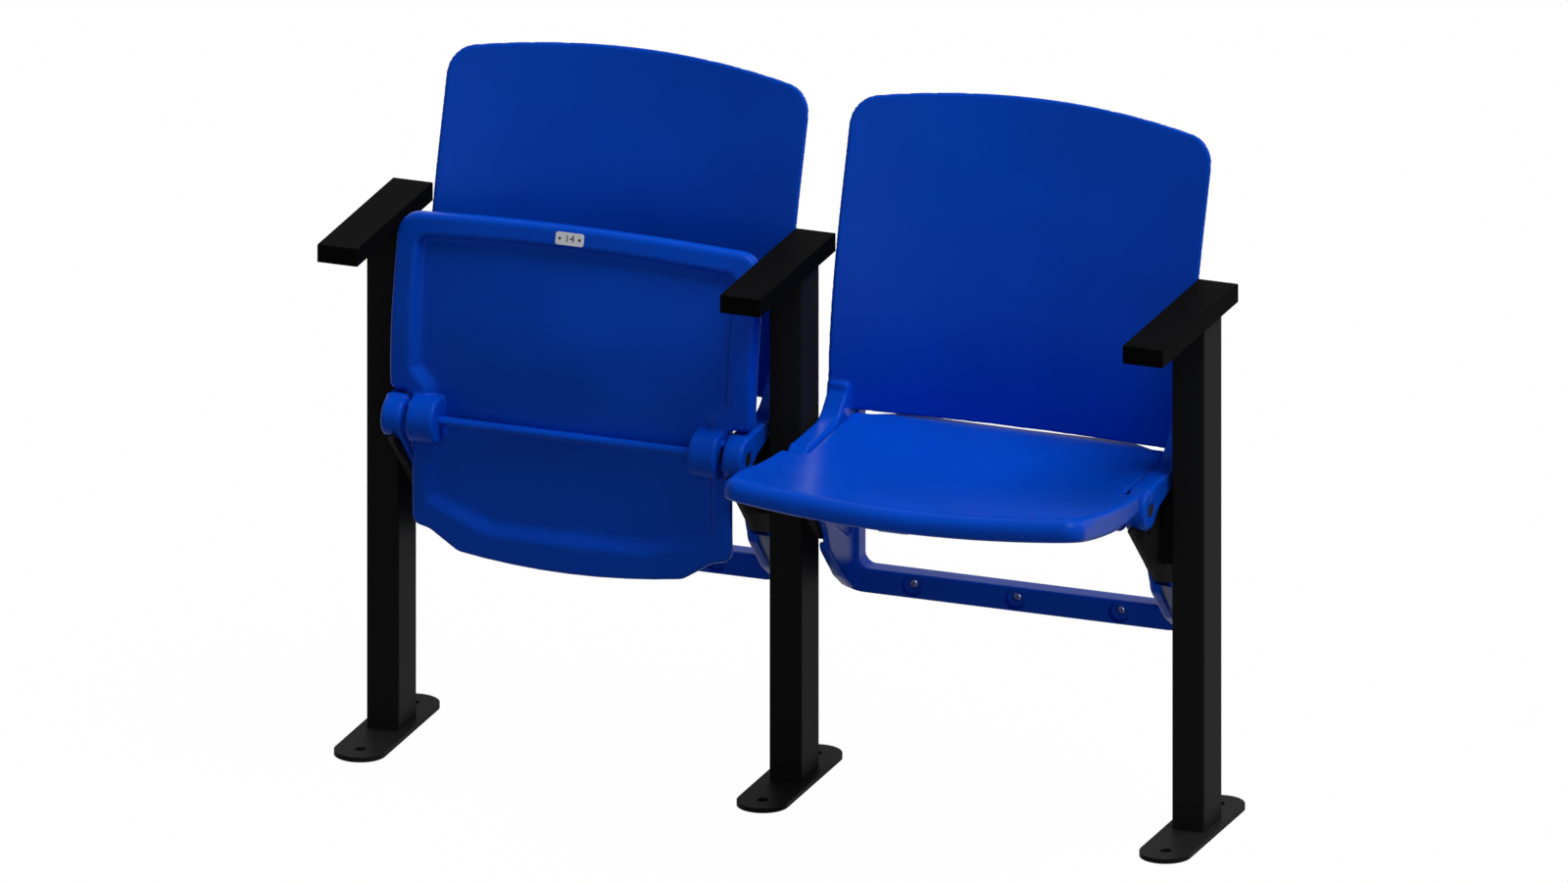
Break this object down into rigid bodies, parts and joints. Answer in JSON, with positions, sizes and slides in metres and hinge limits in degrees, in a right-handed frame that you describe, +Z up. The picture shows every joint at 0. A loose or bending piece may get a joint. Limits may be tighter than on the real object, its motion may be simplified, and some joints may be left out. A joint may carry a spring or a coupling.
{
  "type": "row of tip-up stadium seats",
  "caption": "Blue moulded tip-up stadium seats on black floor posts with flat armrests, one seat tipped up and one down",
  "frame": {"origin": "centre of the middle post's floor plate, on the floor", "axes": "+X along the row to the right seen from the front, +Y to the back of the seats, +Z up"},
  "size_m": [1.0614, 0.4873, 0.8158],
  "materials": {
    "blue_plastic": "satin moulded polypropylene",
    "black_plastic": "fine grained moulded armrest",
    "black_steel": "fine texture powder coat",
    "blue_coated_steel": "smooth blue coating",
    "dark_steel": "blackened pin",
    "bush_plastic": "sliding bearing plastic",
    "plate_aluminium": "satin anodised",
    "pale_plastic": "plain plug"
  },
  "bodies": {
    "frame": {"base_plate_left": "black_steel", "post_left": "black_steel", "arm_strip_left": "black_steel", "armrest_left": "black_plastic", "armrest_screws_left": "dark_steel", "base_plate_middle": "black_steel", "post_middle": "black_steel", "arm_strip_middle": "black_steel", "armrest_middle": "black_plastic", "armrest_screws_middle": "dark_steel", "base_plate_right": "black_steel", "post_right": "black_steel", "arm_strip_right": "black_steel", "armrest_right": "black_plastic", "armrest_screws_right": "dark_steel", "left_back_shell": "blue_plastic", "left_pivot_pins": "dark_steel", "left_bracket_bolts": "dark_steel", "left_bracket_left": "black_steel", "left_bracket_right": "black_steel", "right_back_shell": "blue_plastic", "right_pivot_pins": "dark_steel", "right_bracket_bolts": "dark_steel", "right_bracket_left": "black_steel", "right_bracket_right": "black_steel"},
    "left_seat": {"left_seat_pan": "blue_plastic", "left_pivot_bushes": "bush_plastic", "left_tie_rod": "blue_coated_steel", "left_number_plate": "plate_aluminium", "left_plate_rivets": "dark_steel", "left_vent_plugs": "pale_plastic"},
    "right_seat": {"right_seat_pan": "blue_plastic", "right_pivot_bushes": "bush_plastic", "right_tie_rod": "blue_coated_steel", "right_number_plate": "plate_aluminium", "right_plate_rivets": "dark_steel", "right_vent_plugs": "pale_plastic"}
  },
  "joints": [
    {"name": "left_seat_tip", "type": "hinge", "parent": "frame", "child": "left_seat", "pos_m": [-0.25, -0.068, 0.415], "axis": [-1, 0, 0], "range_deg": [-90, 0]},
    {"name": "right_seat_tip", "type": "hinge", "parent": "frame", "child": "right_seat", "pos_m": [0.25, -0.068, 0.415], "axis": [-1, 0, 0], "range_deg": [0, 90]}
  ]
}
